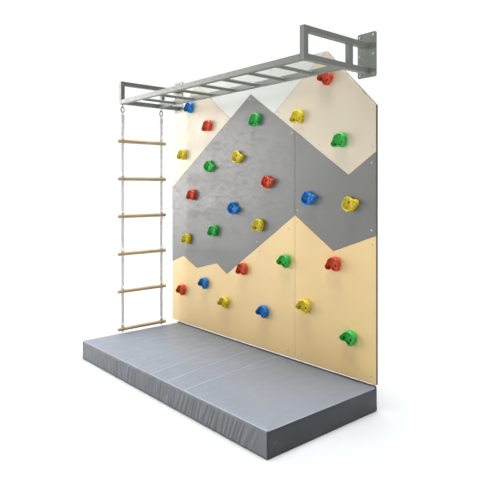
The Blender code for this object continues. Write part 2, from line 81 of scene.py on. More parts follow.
# Holds: distance from the boards' left edge, height, clockwise turn from the notch pointing down
HOLDS = sorted(name for name in NODES if name.startswith("hold_"))
HOLD_SPOTS = (
    (0.305, 2.230, 0), (0.590, 2.030, -15), (0.190, 1.788, -10), (0.345, 1.402, -12),
    (0.675, 1.083, -15), (0.260, 0.983, -12), (0.175, 0.488, -5), (0.535, 0.600, 0),
    (0.825, 0.470, 0), (1.070, 0.785, -16), (1.270, 1.163, -14), (1.325, 0.475, 0),
    (1.565, 0.905, 0), (1.770, 0.592, 0), (2.185, 0.443, 6), (2.050, 0.930, -12),
    (1.230, 2.023, -18), (1.705, 2.000, -8), (2.105, 1.795, -14), (1.980, 2.253, 18),
    (0.625, 1.660, 200), (1.018, 1.728, 195), (1.390, 1.513, 185), (0.965, 1.290, 202),
    (1.825, 1.390, 185), (2.205, 1.356, 180),
)
# A hold's outline is the smooth union of these circles: centre x, z and radius
HOLD_LOBES = (
    (0.010, 0.004, 0.047), (0.019, -0.031, 0.022), (-0.035, -0.011, 0.023), (-0.018, 0.003, 0.0255),
)
HOLD_BLEND = 800
HOLD_LIP_ANGLE = -1.95
HOLD_STRETCH = 1.13
HOLD_WELLS = ((-0.039, -0.012), (0.019, -0.013))
WELL_RADIUS = 0.0080
WELL_FLOOR = 0.0060
HOLD_AROUND = 96

# Monkey bars
STEEL = ("bracket_left", "bracket_right", "wall_plate_left", "wall_plate_right", "rung_frame")
TUBE = 0.038
BAR_RADIUS = 0.0125
MID_POST_Y = 0.312
WELD_POOL = 0.0055
WELD = 0.0020
THIN_WELD = 0.0014

# Rope ladder
STEPS = 6
ROPE_X = centre("ladder_rung_1")[0]
SIDES = {side: centre(f"rope_{side}_2")[1] for side in ("front", "rear")}
RUNG_Z = [centre(f"ladder_rung_{n}")[2] for n in range(1, STEPS + 1)]
RUNG_RADIUS = 0.018
ROPE_RADII = (0.0060, 0.0060, 0.0061, 0.0065, 0.0067, 0.0067)
ROPE_LAY = 0.026
KNOT_LAY = 0.022
NECK = 0.0034
KNOT_ROPE = 0.0052
TOP_KNOT = (0.0188, 0.027)
HANGING_KNOT = (0.0160, 0.022)
END_KNOT = (0.0118, 0.0105)
KNOT_GAP = 0.0005
ROPE_CLEAR = 0.0025
# The eye at the top of each rope: its radius and its rope's radius
EYE = (0.0140, 0.0062)
# How far below the eye's top the splice starts
SPLICE_DROP = 0.037
SPLICE_LENGTH = 0.150
SPLICE_ROPE = 0.0080
SPLICE_SPREAD = 0.0098
# Twine at the top and the foot of the splice: distance from that end, and radius
WHIPPINGS = ((0.010, 0.0168), (0.020, 0.0150))
WHIPPING_TURNS = 7
LINK_WIRE = 0.0035

# Camera and light
CAMERA_PLACE = (3.308, -2.505, 1.458)
CAMERA_YAW = math.radians(49.32)
CAMERA_LENS = 40.54
CAMERA_SHIFT = (0.0, -0.1058)

random.seed(7)


# Mesh tools. A shape is (vertices, faces): an array of points and a list of index tuples.

def merge(shapes):
    """Several shapes as one."""
    vertices, faces, start = [], [], 0
    for points, polygons in shapes:
        vertices.append(np.asarray(points, float))
        faces += [tuple(start + i for i in polygon) for polygon in polygons]
        start += len(points)
    return np.concatenate(vertices), faces


def moved(shape, offset=(0, 0, 0), turn=None):
    """A copy of a shape, turned by a matrix and then moved."""
    points, faces = shape
    if turn is not None:
        points = points @ np.array(turn.to_3x3()).T
    return points + np.array(offset, float), faces


def unit(rows):
    return rows / np.maximum(np.linalg.norm(rows, axis=-1, keepdims=True), 1e-12)


def frames(points, closed):
    """Directions across a path, turned as little as possible from point to point."""
    if closed:
        tangents = unit(np.roll(points, -1, axis=0) - np.roll(points, 1, axis=0))
    else:
        tangents = unit(np.gradient(points, axis=0))
    normal = np.cross(tangents[0], (0.31, 0.87, 0.39))
    normals = []
    for tangent in tangents:
        normal = unit(normal - tangent * normal.dot(tangent))
        normals.append(normal)
    normals = np.array(normals)
    if closed:
        last = unit(normals[-1] - tangents[0] * normals[-1].dot(tangents[0]))
        side = np.cross(tangents[0], normals[0])
        slip = math.atan2(last.dot(side), last.dot(normals[0]))
        angle = -slip * np.arange(len(points)) / len(points)
        across = np.cross(tangents, normals)
        normals = np.cos(angle)[:, None] * normals + np.sin(angle)[:, None] * across
    return tangents, normals, np.cross(tangents, normals)


def tube(points, radii, sides=8, closed=False):
    """A round tube along a path, with one radius or one for each point."""
    points = np.asarray(points, float)
    count = len(points)
    _, normals, across = frames(points, closed)
    radii = np.broadcast_to(radii, count)[:, None, None]
    angle = np.arange(sides) * 2 * math.pi / sides
    cos, sin = np.cos(angle)[None, :, None], np.sin(angle)[None, :, None]
    ring = cos * normals[:, None] + sin * across[:, None]
    vertices = (points[:, None] + radii * ring).reshape(-1, 3)
    faces = []
    for i in range(count if closed else count - 1):
        a, b = i * sides, (i + 1) % count * sides
        faces += [(a + j, a + (j + 1) % sides, b + (j + 1) % sides, b + j) for j in range(sides)]
    if not closed:
        faces.append(tuple(reversed(range(sides))))
        faces.append(tuple(range((count - 1) * sides, count * sides)))
    return vertices, faces


def distances(points, closed=False):
    """How far along a path each of its points is, and the whole length."""
    steps = np.linalg.norm(np.diff(points, axis=0), axis=1)
    along = np.concatenate([[0], np.cumsum(steps)])
    if closed:
        return along, along[-1] + np.linalg.norm(points[0] - points[-1])
    return along, along[-1]


def laid(points, radii, lay=ROPE_LAY, strands=3, sides=7, closed=False, phase=0.0):
    """A rope of twisted strands along a path; lay is how far a strand goes in one turn."""
    points = np.asarray(points, float)
    along, total = distances(points, closed)
    turns = along / lay
    if closed:
        turns = along / total * max(1, round(total / lay))
    _, normals, across = frames(points, closed)
    half = 0.5 * np.broadcast_to(radii, len(points))
    made = []
    for strand in range(strands):
        angle = 2 * math.pi * (turns + strand / strands + phase)
        offset = np.cos(angle)[:, None] * normals + np.sin(angle)[:, None] * across
        made.append(tube(points + offset * half[:, None], half * 1.04, sides, closed))
    return merge(made)


def turned(profile, sides=20):
    """A solid turned about Z from (radius, height) points; a third value makes a ring a hexagon."""
    vertices, faces = [], []
    for entry in profile:
        radius, height = entry[:2]
        for j in range(sides):
            angle = 2 * math.pi * j / sides
            reach = radius
            if len(entry) == 3:
                sector = math.pi / 3
                reach = radius / math.cos((angle + sector / 2) % sector - sector / 2)
            vertices.append((reach * math.cos(angle), reach * math.sin(angle), height))
    for i in range(len(profile) - 1):
        a, b = i * sides, (i + 1) * sides
        faces += [(a + j, a + (j + 1) % sides, b + (j + 1) % sides, b + j) for j in range(sides)]
    faces.append(tuple(reversed(range(sides))))
    faces.append(tuple(range((len(profile) - 1) * sides, len(profile) * sides)))
    return np.array(vertices), faces


def piece(name, shape, look, body, replaces=(), sharp=None):
    """A mesh object that rides on a body and stands for the CAD nodes named in replaces."""
    vertices, faces = shape
    mesh = bpy.data.meshes.new(name)
    mesh.from_pydata(vertices.tolist(), [], faces)
    mesh.materials.append(look)
    mesh.shade_smooth()
    if sharp is not None:
        mesh.set_sharp_from_angle(angle=math.radians(sharp))
    made = bpy.data.objects.new(name, mesh)
    bpy.context.scene.collection.objects.link(made)
    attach(made, body)
    if replaces:
        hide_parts(*replaces)
    return made


# Materials

class Look:
    """A Principled material that is wired up node by node in the object's own coordinates."""

    def __init__(self, name):
        self.material = bpy.data.materials.new(name)
        self.material.use_nodes = True
        self.tree = self.material.node_tree
        self.shader = self.tree.nodes["Principled BSDF"]
        self.coords = self.add("ShaderNodeTexCoord").outputs

    def add(self, kind, inputs=None, **settings):
        node = self.tree.nodes.new(kind)
        for key, value in settings.items():
            setattr(node, key, value)
        for socket, value in (inputs or {}).items():
            if isinstance(value, bpy.types.NodeSocket):
                self.tree.links.new(value, node.inputs[socket])
            else:
                node.inputs[socket].default_value = value
        return node

    def place(self, stretch):
        """The object's coordinates, scaled along each axis."""
        mapping = self.add("ShaderNodeMapping", {"Vector": self.coords["Object"], "Scale": stretch})
        return mapping.outputs["Vector"]

    def noise(self, scale, detail=3.0, stretch=(1, 1, 1), distortion=0.0):
        return self.add("ShaderNodeTexNoise", {
            "Vector": self.place(stretch), "Scale": scale, "Detail": detail,
            "Distortion": distortion,
        }).outputs["Fac"]

    def ramp(self, value, low, high, start=0.0, end=1.0):
        """A number that goes from start to end while value goes from low to high."""
        return self.add("ShaderNodeMapRange", {
            "Value": value, "From Min": low, "From Max": high, "To Min": start, "To Max": end,
        }, interpolation_type="SMOOTHSTEP").outputs["Result"]

    def math(self, operation, a, b=0.0):
        return self.add("ShaderNodeMath", {0: a, 1: b}, operation=operation).outputs[0]

    def mix(self, factor, a, b):
        """Colour a where factor is 0, and b where it is 1."""
        node = self.add("ShaderNodeMix", {"Factor": factor}, data_type="RGBA")
        for socket, value in ((node.inputs[6], a), (node.inputs[7], b)):
            if isinstance(value, bpy.types.NodeSocket):
                self.tree.links.new(value, socket)
            else:
                socket.default_value = (*value, 1.0)
        return node.outputs[2]

    def edges(self, radius):
        """1 on the edges that turn within radius, and 0 on the flat."""
        soft = self.add("ShaderNodeBevel", {"Radius": radius}).outputs["Normal"]
        hard = self.add("ShaderNodeNewGeometry").outputs["Normal"]
        both = {0: soft, 1: hard}
        dot = self.add("ShaderNodeVectorMath", both, operation="DOT_PRODUCT").outputs["Value"]
        return self.ramp(dot, 0.98, 0.80)

    def bump(self, height, distance, below=None, strength=1.0):
        inputs = {"Height": height, "Distance": distance, "Strength": strength}
        if below is not None:
            inputs["Normal"] = below
        return self.add("ShaderNodeBump", inputs).outputs["Normal"]

    def finish(self, **inputs):
        """Connects the shader's inputs and returns the material."""
        for socket, value in inputs.items():
            target = self.shader.inputs[socket.replace("_", " ")]
            if isinstance(value, bpy.types.NodeSocket):
                self.tree.links.new(value, target)
            elif isinstance(value, tuple):
                target.default_value = (*value, 1.0)
            else:
                target.default_value = value
        return self.material


def tint(colour, factor):
    return tuple(min(1.0, c * factor) for c in colour)


def painted_board(name, colour):
    """Satin paint rolled on plywood, a grey edge band darkened with painted shade, and bare birch
    behind.
    """
    look = Look(name)
    cloudy = look.noise(2.2, detail=5.0)
    paint = look.mix(look.ramp(cloudy, 0.35, 0.65), tint(colour, 0.965), tint(colour, 1.02))
    scuffs = look.noise(14.0, detail=8.0, stretch=(1, 1, 2.5), distortion=0.6)
    paint = look.mix(look.ramp(scuffs, 0.66, 0.78, 0.0, 0.16), paint, tint(colour, 0.82))
    patchy = look.ramp(look.noise(90.0, detail=6.0), 0.46, 0.62)
    chips = look.math("MULTIPLY", look.edges(0.004), patchy)
    paint = look.mix(look.math("MULTIPLY", chips, 0.5), paint, (0.60, 0.52, 0.40))
    grain = look.noise(30.0, detail=8.0, stretch=(0.06, 1, 1), distortion=0.4)
    ply = look.mix(look.ramp(grain, 0.35, 0.68), (0.62, 0.45, 0.27), (0.46, 0.31, 0.17))
    # The edge band is a real grey band; its colour is painted darker to stand in for the shade on
    # the boards' edges.
    shaded_edge_band = look.mix(look.noise(200.0), (0.034, 0.039, 0.028), (0.048, 0.054, 0.040))
    split = look.add("ShaderNodeSeparateXYZ", {0: look.coords["Normal"]}).outputs["Y"]
    front = look.ramp(look.math("MULTIPLY", split, -1.0), 0.55, 0.65)
    back = look.ramp(split, 0.70, 0.80)
    colour_out = look.mix(front, look.mix(back, shaded_edge_band, ply), paint)
    stipple = look.noise(620.0, detail=2.0)
    broad = look.noise(46.0, detail=3.0)
    normal = look.bump(stipple, 0.00014, strength=0.55)
    normal = look.bump(broad, 0.0004, below=normal, strength=0.10)
    normal = look.bump(grain, 0.0006, below=normal, strength=0.12)
    rough = look.ramp(scuffs, 0.35, 0.75, 0.36, 0.50)
    return look.finish(
        Base_Color=colour_out, Roughness=rough, Normal=normal, Specular_IOR_Level=0.8,
    )


def powder_coat():
    """Baked grey coat with a fine orange peel, rubbed a little lighter along its edges."""
    look = Look("powder_coat")
    cloudy = look.noise(6.0, detail=4.0)
    speckle = look.noise(1500.0, detail=1.0)
    coat = look.mix(cloudy, (0.170, 0.180, 0.156), (0.190, 0.200, 0.174))
    coat = look.mix(look.ramp(speckle, 0.62, 0.75, 0.0, 0.25), coat, (0.23, 0.25, 0.22))
    patchy = look.ramp(look.noise(60.0, detail=5.0), 0.42, 0.60)
    worn = look.math("MULTIPLY", look.edges(0.003), patchy)
    coat = look.mix(look.math("MULTIPLY", worn, 0.55), coat, (0.28, 0.30, 0.27))
    normal = look.bump(look.noise(900.0, detail=2.0), 0.00012, strength=0.6)
    rough = look.ramp(look.noise(22.0, detail=5.0), 0.3, 0.7, 0.36, 0.48)
    return look.finish(Base_Color=coat, Roughness=rough, Normal=normal, Specular_IOR_Level=0.9)


def resin(name, colour):
    """Cast resin: mottled through, gritty, chalky on the ridges, with painted shade in the hollows.
    """
    look = Look(name)
    point = look.add("ShaderNodeNewGeometry").outputs["Pointiness"]
    mottle = look.noise(38.0, detail=6.0)
    body = look.mix(look.ramp(mottle, 0.35, 0.65), tint(colour, 0.86), tint(colour, 1.10))
    # Painted shade: the hollows, found by their low pointiness, are darkened towards a deep tone of
    # the resin.
    body = look.mix(look.ramp(point, 0.49, 0.42, 0.0, 0.65), body, tint(colour, 0.40))
    dusty = look.ramp(mottle, 0.42, 0.62, 0.06, 0.22)
    chalk = look.math("MULTIPLY", look.ramp(point, 0.52, 0.60), dusty)
    body = look.mix(chalk, body, tuple(0.85 * c + 0.12 for c in colour))
    fine = look.noise(900.0, detail=3.0)
    coarse = look.noise(170.0, detail=4.0)
    normal = look.bump(coarse, 0.0009, strength=0.45)
    normal = look.bump(fine, 0.0002, below=normal, strength=0.5)
    rough = look.ramp(coarse, 0.3, 0.7, 0.30, 0.46)
    return look.finish(
        Base_Color=body, Roughness=rough, Normal=normal, Specular_IOR_Level=0.38,
        Coat_Weight=0.08, Coat_Roughness=0.25,
    )


def rung_wood():
    """Oiled beech with its grain along Y and fine pores."""
    look = Look("rung_wood")
    figure = look.noise(62.0, detail=6.0, stretch=(1, 0.05, 1), distortion=1.1)
    streaks = look.noise(260.0, detail=4.0, stretch=(1, 0.025, 1), distortion=0.3)
    wood = look.mix(look.ramp(figure, 0.32, 0.70), (0.58, 0.44, 0.28), (0.48, 0.35, 0.21))
    wood = look.mix(look.ramp(streaks, 0.56, 0.72, 0.0, 0.5), wood, (0.38, 0.25, 0.12))
    pale = look.ramp(look.noise(9.0, detail=3.0), 0.4, 0.7, 0.0, 0.3)
    wood = look.mix(pale, wood, (0.66, 0.52, 0.33))
    worn = look.math("MULTIPLY", look.edges(0.004), 0.4)
    wood = look.mix(worn, wood, (0.68, 0.56, 0.38))
    pores = look.noise(1100.0, detail=2.0, stretch=(1, 0.05, 1))
    normal = look.bump(streaks, 0.0006, strength=0.35)
    normal = look.bump(pores, 0.0002, below=normal, strength=0.5)
    rough = look.ramp(figure, 0.3, 0.7, 0.44, 0.58)
    return look.finish(Base_Color=wood, Roughness=rough, Normal=normal)


def rope_fibre():
    """White twisted nylon, a little grey where hands have been."""
    look = Look("rope")
    handled = look.noise(24.0, detail=5.0)
    yarn = look.mix(look.ramp(handled, 0.40, 0.72), (0.93, 0.94, 0.92), (0.86, 0.87, 0.84))
    fibres = look.noise(1300.0, detail=3.0, stretch=(1, 1, 0.25))
    yarn = look.mix(look.ramp(fibres, 0.35, 0.70, 0.0, 0.30), yarn, (0.74, 0.75, 0.72))
    normal = look.bump(fibres, 0.0005, strength=0.8)
    return look.finish(Base_Color=yarn, Roughness=0.78, Normal=normal, Sheen_Weight=0.25)


def metal(name, colour, roughness, metallic=0.85):
    """Plated steel with handling marks."""
    look = Look(name)
    marks = look.noise(120.0, detail=6.0, distortion=0.5)
    plate = look.mix(look.ramp(marks, 0.4, 0.7), tint(colour, 1.06), tint(colour, 0.74))
    worn = look.math("MULTIPLY", look.edges(0.0012), 0.5)
    plate = look.mix(worn, plate, tint(colour, 1.7))
    normal = look.bump(look.noise(700.0, detail=3.0), 0.0001, strength=0.5)
    rough = look.ramp(marks, 0.3, 0.75, roughness * 0.75, roughness * 1.3)
    return look.finish(Base_Color=plate, Metallic=metallic, Roughness=rough, Normal=normal)


# Painted shadow along the mat's back under the boards: how far in front of the boards it starts,
# its colour
BACK_SHADOW_START = 0.012
BACK_SHADOW_COLOUR = (0.012, 0.014, 0.010)


def mat_cloth(name, colour, front_colour, shaded_end_colour):
    """Coated woven cloth with crossing threads and rubbed patches; top, front and ends are lit and
    shaded copies of one colour, with painted shade darkest on the ends, and a strip of painted
    shadow along the back under the boards.
    """
    look = Look(name)
    # Painted light and shade by facing: the top colour on top, the front colour on the sides, and a
    # much darker colour on the ends.
    facing = look.add("ShaderNodeSeparateXYZ", {0: look.coords["Normal"]}).outputs
    painted_light_top = look.ramp(facing["Z"], 0.55, 0.80)
    painted_shade_ends = look.ramp(look.math("ABSOLUTE", facing["X"]), 0.60, 0.80)
    threads = None
    for axis in "XYZ":
        wave = look.add("ShaderNodeTexWave", {"Vector": look.coords["Object"], "Scale": 230.0},
                        wave_type="BANDS", bands_direction=axis).outputs["Fac"]
        threads = wave if threads is None else look.math("ADD", threads, wave)
    patches = look.noise(3.0, detail=6.0)
    rubbed = look.noise(17.0, detail=7.0, stretch=(1, 0.4, 1))
    plain = look.mix(painted_light_top, look.mix(painted_shade_ends, front_colour, shaded_end_colour), colour)
    cloth = look.mix(look.ramp(patches, 0.35, 0.65, 0.0, 0.06), plain, tint(colour, 0.3))
    cloth = look.mix(look.ramp(rubbed, 0.60, 0.76, 0.0, 0.10), cloth, tint(colour, 1.8))
    cloth = look.mix(look.ramp(threads, 0.9, 2.4, 0.10, 0.0), cloth, tint(shaded_end_colour, 0.4))
    # Painted shadow: the cloth turns almost black from just in front of the boards to the back.
    place = look.add("ShaderNodeSeparateXYZ", {0: look.coords["Object"]}).outputs
    back_shadow_start = BOARD_FRONT - BACK_SHADOW_START
    back_shadow = look.ramp(place["Y"], back_shadow_start, back_shadow_start + 0.003)
    cloth = look.mix(back_shadow, cloth, BACK_SHADOW_COLOUR)
    creases = look.noise(7.0, detail=9.0, stretch=(2.2, 0.5, 1), distortion=1.2)
    normal = look.bump(creases, 0.004, strength=0.22)
    normal = look.bump(threads, 0.0003, below=normal, strength=0.5)
    rough = look.ramp(rubbed, 0.3, 0.75, 0.46, 0.36)
    return look.finish(
        Base_Color=cloth, Roughness=rough, Normal=normal, Specular_IOR_Level=0.55,
        Sheen_Weight=0.06, Sheen_Roughness=0.4,
    )


def floor_paint():
    """A plain pale studio floor."""
    look = Look("studio_floor")
    shade = look.mix(look.noise(1.1, detail=4.0), (0.375, 0.375, 0.375), (0.385, 0.385, 0.385))
    return look.finish(Base_Color=shade, Roughness=0.85)


PAINTS = {
    "white": painted_board("white_paint", (0.66, 0.665, 0.62)),
    "beige": painted_board("beige_paint", (0.65, 0.56, 0.41)),
    "grey": painted_board("grey_paint", (0.150, 0.149, 0.142)),
    "tan": painted_board("tan_paint", (0.86, 0.610, 0.265)),
}
RESINS = {
    "red": resin("red_resin", (0.66, 0.066, 0.016)),
    "green": resin("green_resin", (0.022, 0.47, 0.060)),
    "blue": resin("blue_resin", (0.004, 0.195, 0.58)),
    "yellow": resin("yellow_resin", (0.74, 0.60, 0.022)),
}
COAT = powder_coat()
WOOD = rung_wood()
ROPE = rope_fibre()
DARK_STEEL = metal("dark_steel", (0.050, 0.053, 0.050), 0.45, metallic=0.45)
ZINC = metal("zinc_steel", (0.52, 0.52, 0.50), 0.34)
# The cover's top, front and end colours are lit and shaded copies of one cloth; the dark end colour
# is painted shade.
CLOTH = mat_cloth("mat_cloth", (0.150, 0.165, 0.193), (0.164, 0.170, 0.186), (0.017, 0.020, 0.029))
# Painted highlight: the piping is a real cord coloured lighter than the cover to stand in for the
# light along the top edge; the seams' light colour, the same on every side, is painted highlight.
PIPING_WITH_HIGHLIGHT = mat_cloth("mat_piping", (0.30, 0.32, 0.36), (0.24, 0.25, 0.27), (0.16, 0.165, 0.18))
SEAM_HIGHLIGHT = mat_cloth("mat_seam", (0.31, 0.33, 0.36), (0.31, 0.33, 0.36), (0.31, 0.33, 0.36))


def dress(name, look):
    """Gives a CAD node its material."""
    node = NODES[name]
    node.data.materials.clear()
    node.data.materials.append(look)


def dress_cad():
    for name, paint in BOARDS.items():
        dress(name, PAINTS[paint])
    for name in STEEL:
        dress(name, COAT)
    for step in range(1, STEPS + 1):
        dress(f"ladder_rung_{step}", WOOD)


# Holds

def smooth_step(value, low, high):
    t = np.clip((value - low) / (high - low), 0, 1)
    return t * t * (3 - 2 * t)


def hold_outline(angle):
    """The hold's reach from its origin: a large lobe, a small one and a notch between them."""
    total = 1.0 - len(HOLD_LOBES)
    for x, z, radius in HOLD_LOBES:
        middle = x * np.cos(angle) + z * np.sin(angle)
        half_chord = radius ** 2 - x ** 2 - z ** 2 + middle ** 2
        reach = np.where(half_chord > 0, middle + np.sqrt(np.maximum(half_chord, 0)), 0)
        total = total + np.exp(HOLD_BLEND * np.maximum(reach, 0))
    return np.log(total) / HOLD_BLEND


# Distance inside the outline and out from the board: up the flank, over the rim, into the scoop
HOLD_PROFILE = (
    (0.0070, 0.0000), (0.0045, 0.0012), (0.0022, 0.0040), (0.0008, 0.0080), (0.0001, 0.0120),
    (0.0001, 0.0180), (0.0004, 0.0240), (0.0010, 0.0290), (0.0019, 0.0330), (0.0032, 0.0365),
    (0.0048, 0.0390), (0.0065, 0.0401), (0.0080, 0.0398), (0.0092, 0.0380), (0.0101, 0.0350),
    (0.0109, 0.0310), (0.0119, 0.0262), (0.0134, 0.0214), (0.0155, 0.0178), (0.0182, 0.0154),
    (0.0212, 0.0142),
)
SCOOP_FLOOR = 0.0132
SCOOP_RINGS = 11


def hold_grid():
    """Reach and distance out for every ring of the hold's surface."""
    rows = np.linspace(0, 1, 2 * len(HOLD_PROFILE) - 1) * (len(HOLD_PROFILE) - 1)
    known = np.arange(len(HOLD_PROFILE))
    inward = np.interp(rows, known, [p[0] for p in HOLD_PROFILE])[:, None]
    out = np.interp(rows, known, [p[1] for p in HOLD_PROFILE])[:, None]
    angle = (np.arange(HOLD_AROUND) * 2 * math.pi / HOLD_AROUND)[None, :]
    reach = hold_outline(angle) - inward
    share = np.linspace(1, 0.03, SCOOP_RINGS + 1)[1:, None]
    reach = np.concatenate([reach, reach[-1:] * share])
    floor = SCOOP_FLOOR + (out[-1, 0] - SCOOP_FLOOR) * share ** 2
    out = np.concatenate([out, floor])
    from_lip = np.remainder(angle - HOLD_LIP_ANGLE + math.pi, 2 * math.pi) - math.pi
    raised = smooth_step(out, 0.010, 0.040)
    lip = np.exp(-(from_lip / 0.50) ** 2)
    out = out * (1 + 0.06 * np.sin(angle) * raised - 0.27 * raised * lip)
    return angle, reach, out


def hold_shape(seed):
    """A horseshoe rim round a deep scoop with two bolt wells; it faces -Y."""
    angle, reach, out = hold_grid()
    x, z = reach * np.cos(angle) * HOLD_STRETCH, reach * np.sin(angle)
    inside = np.zeros_like(out)
    inside[2 * len(HOLD_PROFILE) - 12:] = 1
    ridge = np.exp(-((x + 0.010) / 0.0060) ** 2) * smooth_step(z, -0.034, -0.010)
    out = out + 0.0035 * ridge * inside * smooth_step(0.026 - out, 0, 0.008)
    for well_x, well_z in HOLD_WELLS:
        from_bolt = np.hypot(x - well_x, z - well_z)
        lip = np.exp(-((from_bolt - WELL_RADIUS - 0.0020) / 0.0014) ** 2) * inside
        out = out + 0.0010 * lip
        well = smooth_step(WELL_RADIUS + 0.0016 - from_bolt, 0, 0.0018) * inside
        out = out + well * (WELL_FLOOR - out)
    points = np.stack([x, -out, z], axis=-1).reshape(-1, 3)
    lumps = np.array([
        noise.noise(Vector(p) * 42 + Vector((seed * 3.1, 0, seed))) * 0.0010
        + noise.noise(Vector(p) * 150 + Vector((0, seed, 7))) * 0.0004
        for p in points
    ])
    direction = unit(points + np.array([0, 0.004, 0]))
    fade = np.clip(-points[:, 1] / 0.012, 0, 1)
    points = points + direction * (lumps * fade)[:, None]
    faces = []
    rows = len(out)
    for i in range(rows - 1):
        a, b = i * HOLD_AROUND, (i + 1) * HOLD_AROUND
        faces += [
            (a + (j + 1) % HOLD_AROUND, a + j, b + j, b + (j + 1) % HOLD_AROUND)
            for j in range(HOLD_AROUND)
        ]
    faces.append(tuple(range(HOLD_AROUND)))
    faces.append(tuple(reversed(range((rows - 1) * HOLD_AROUND, rows * HOLD_AROUND))))
    return points, faces


OUTWARD = Matrix.Rotation(math.radians(90), 4, "X")


def socket_bolt():
    """A cap screw's head with a hexagon socket."""
    return turned((
        (0.0058, 0.0), (0.0062, 0.0006), (0.0062, 0.0052), (0.0056, 0.0060), (0.0036, 0.0060),
        (0.0030, 0.0058, 6), (0.0030, 0.0026, 6), (0.0010, 0.0022),
    ), 24)


def build_holds():
    bolts = []
    nuts = []
    bolt = moved(socket_bolt(), turn=OUTWARD)
    nut = turned((
        (0.0110, 0.0), (0.0110, 0.0005), (0.0100, 0.0008), (0.0056, 0.0008), (0.0050, 0.0004),
        (0.0044, -0.0060),
    ), 24)
    nut = moved(nut, turn=OUTWARD.inverted())
    for number, name in enumerate(HOLDS, start=1):
        finish = name.split("_")[-1]
        x, z, degrees = HOLD_SPOTS[number - 1]
        middle = Vector((BOARD_LEFT + x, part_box(name)[1].y, z))
        turn = Matrix.Rotation(math.radians(degrees), 4, "Y")
        shape = moved(hold_shape(number), middle, turn)
        piece(f"{name}_cast", shape, RESINS[finish], "wall", (name,))
        for well_x, well_z in HOLD_WELLS:
            place = middle + turn @ Vector((well_x, -WELL_FLOOR + 0.001, well_z))
            bolts.append(moved(bolt, place))
            nuts.append(moved(nut, (place.x, BOARD_BACK, place.z)))
    piece("hold_bolts", merge(bolts), DARK_STEEL, "wall", sharp=35)
    piece("board_t_nuts", merge(nuts), ZINC, "wall", sharp=35)


# Fixings

def build_screws():
    """Oval-head screws in finishing washers, with a cross recess suggested by a dimple."""
    screw = turned((
        (SCREW_RADIUS, 0.0), (SCREW_RADIUS, 0.0003), (0.0056, 0.0014), (0.0046, 0.0016),
        (0.0044, 0.0013), (0.0036, 0.0021), (0.0024, 0.0026), (0.0014, 0.0025), (0.0008, 0.0012),
    ), 20)
    screw = moved(screw, turn=OUTWARD)
    made = [moved(screw, (BOARD_LEFT + x, BOARD_FRONT, z)) for x, z in SCREWS]
    piece("board_screws", merge(made), ZINC, "wall", sharp=50)


def build_plate_bolts():
    """Six hexagon-head anchor bolts with washers on each wall plate."""
    bolt = turned((
        (0.0092, 0.0), (0.0096, 0.0003), (0.0096, 0.0014), (0.0090, 0.0018), (0.0076, 0.0018),
        (0.0066, 0.0020, 6), (0.0066, 0.0064, 6), (0.0058, 0.0076), (0.0024, 0.0080),
    ), 36)
    bolt = moved(bolt, turn=OUTWARD)
    for side in ("left", "right"):
        x, _, z = centre(f"wall_plate_{side}")
        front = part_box(f"wall_plate_{side}")[0].y
        made = [
            moved(bolt, (x + across * PLATE_BOLTS[0], front, z + up * PLATE_BOLTS[1]))
            for across in (-1, 1) for up in (-1, 0, 1)
        ]
        piece(f"anchor_bolts_{side}", merge(made), ZINC, "wall", sharp=30)


def weld_path(centre, half, axis):
    """A closed path round a square tube that runs along axis."""
    u, v = [i for i in range(3) if i != axis]
    corner = 0.0022
    path = []
    for quarter, (du, dv) in enumerate(((1, 1), (-1, 1), (-1, -1), (1, -1))):
        for step in range(5):
            angle = math.pi / 2 * (quarter + step / 4)
            point = [0.0, 0.0, 0.0]
            point[axis] = centre[axis]
            point[u] = centre[u] + du * (half - corner) + corner * math.cos(angle)
            point[v] = centre[v] + dv * (half - corner) + corner * math.sin(angle)
            path.append(point)
    return refined(np.array(path), 0.003)


def refined(path, step):
    """A closed path with points about a step apart."""
    closed = np.vstack([path, path[:1]])
    along, total = distances(closed)
    at = np.linspace(0, total, max(8, int(total / step)), endpoint=False)
    return np.stack([np.interp(at, along, closed[:, i]) for i in range(3)], axis=1)


def weld(path, radius=WELD):
    """A bead of overlapping weld pools."""
    along, total = distances(path, closed=True)
    pools = np.abs(np.sin(along * math.pi / WELD_POOL))
    return tube(path, radius * (0.80 + 0.30 * pools), 8, closed=True)


def build_welds():
    frame_low, frame_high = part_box("rung_frame")
    tube_half = TUBE / 2
    rail_z = frame_low.z + tube_half
    rails = (
        (frame_low.y + tube_half, rail_z),
        (frame_high.y - tube_half, frame_high.z - tube_half),
    )
    beads = []
    for side, rail_end in (("left", frame_low.x), ("right", frame_high.x)):
        low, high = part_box(f"bracket_{side}")
        x = centre(f"bracket_{side}")[0]
        top_z = high.z - tube_half
        plate_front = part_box(f"wall_plate_{side}")[0].y
        post_back = low.y + 2 * tube_half
        for z in (rail_z, top_z):
            beads.append(weld(weld_path((x, plate_front, z), tube_half, 1)))
            beads.append(weld(weld_path((x, post_back, z), tube_half, 1), THIN_WELD))
        for y, z in rails:
            beads.append(weld(weld_path((rail_end, y, z), tube_half, 0), THIN_WELD))
        for z in (rail_z + tube_half, top_z - tube_half):
            beads.append(weld(weld_path((x, MID_POST_Y, z), tube_half, 2), THIN_WELD))
    piece("bracket_welds", merge(beads), COAT, "wall")
    rings = []
    pitch = (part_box("bracket_right")[0].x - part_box("bracket_left")[0].x) / 8
    start = centre("bracket_left")[0]
    for number in range(1, 8):
        for y in (rails[0][0] + tube_half, rails[1][0] - tube_half):
            angle = np.linspace(0, 2 * math.pi, 32, endpoint=False)
            path = np.stack([
                start + number * pitch + BAR_RADIUS * np.cos(angle), 0 * angle + y,
                rail_z + BAR_RADIUS * np.sin(angle),
            ], axis=1)
            rings.append(weld(path))
    piece("rung_welds", merge(rings), COAT, "wall")


# Rope ladder

